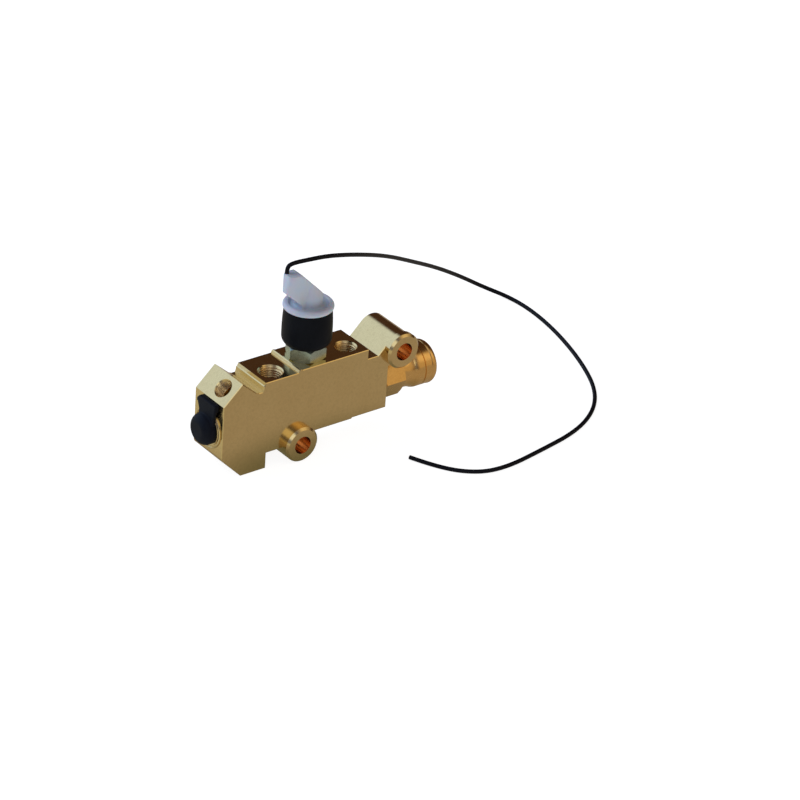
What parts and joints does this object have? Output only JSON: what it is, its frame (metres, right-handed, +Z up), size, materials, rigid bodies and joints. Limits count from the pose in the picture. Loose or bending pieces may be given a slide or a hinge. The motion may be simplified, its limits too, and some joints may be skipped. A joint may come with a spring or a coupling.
{
  "type": "brake combination valve",
  "caption": "Brass brake combination valve with threaded ports, two mounting bosses, a warning switch with a white connector and a free lead, and sliding pistons inside.",
  "frame": {"origin": "middle of the valve's footprint without its lead, at the level of its foot", "axes": "+X along the body towards the proportioning plug, the mounting bosses face -Y, +Z up along the warning switch"},
  "size_m": [0.2612, 0.1578, 0.1081],
  "materials": {
    "brass_body": "machined and bright, lightly polished",
    "brass_plug": "turned, warmer than the body",
    "brass_fitting": "turned",
    "steel": "ground",
    "spring_steel": "drawn wire",
    "zinc_plated_steel": "zinc plated",
    "black_rubber": "matte",
    "black_plastic": "satin",
    "white_plastic": "satin",
    "lead_insulation": "satin"
  },
  "bodies": {
    "valve": {"valve_body": "brass_body", "metering_retainer": "brass_fitting", "metering_o_ring": "black_rubber", "metering_spring": "spring_steel", "dust_cap": "black_rubber", "switch_base": "zinc_plated_steel", "switch_o_ring": "black_rubber", "plunger_spring": "spring_steel", "switch_terminal": "brass_fitting", "switch_insulator": "black_plastic", "connector_shell": "white_plastic", "lead_terminal": "brass_fitting", "warning_lead": "lead_insulation", "proportioning_seal": "black_rubber", "seal_retainer": "steel", "proportioning_spring": "spring_steel", "proportioning_plug": "brass_plug", "plug_o_ring": "black_rubber", "front_inlet_seat": "brass_fitting", "rear_inlet_seat": "brass_fitting", "rear_outlet_seat": "brass_fitting", "front_outlet_seats": "brass_fitting"},
    "metering_stem": {"metering_stem": "steel", "metering_poppet": "steel", "metering_seal": "black_rubber", "metering_spring_seat": "steel"},
    "shuttle": {"shuttle_piston": "steel", "shuttle_o_rings": "black_rubber"},
    "switch_plunger": {"switch_plunger": "brass_fitting"},
    "proportioning_piston": {"proportioning_piston": "steel"}
  },
  "joints": [
    {"name": "metering_stem_slide", "type": "slide", "parent": "valve", "child": "metering_stem", "axis": [1, 0, 0], "range_m": [-0.0012, 0.0012], "stiffness_N_per_m": 800, "deforming": ["metering_spring"]},
    {"name": "shuttle_slide", "type": "slide", "parent": "valve", "child": "shuttle", "axis": [1, 0, 0], "range_m": [-0.0025, 0.0025]},
    {"name": "switch_plunger_slide", "type": "slide", "parent": "valve", "child": "switch_plunger", "axis": [0, 0, 1], "range_m": [0, 0.0012], "stiffness_N_per_m": 300, "springref_m": -0.003, "deforming": ["plunger_spring"]},
    {"name": "proportioning_piston_slide", "type": "slide", "parent": "valve", "child": "proportioning_piston", "axis": [1, 0, 0], "range_m": [0, 0.002], "stiffness_N_per_m": 1500, "springref_m": -0.002, "deforming": ["proportioning_spring"]}
  ]
}
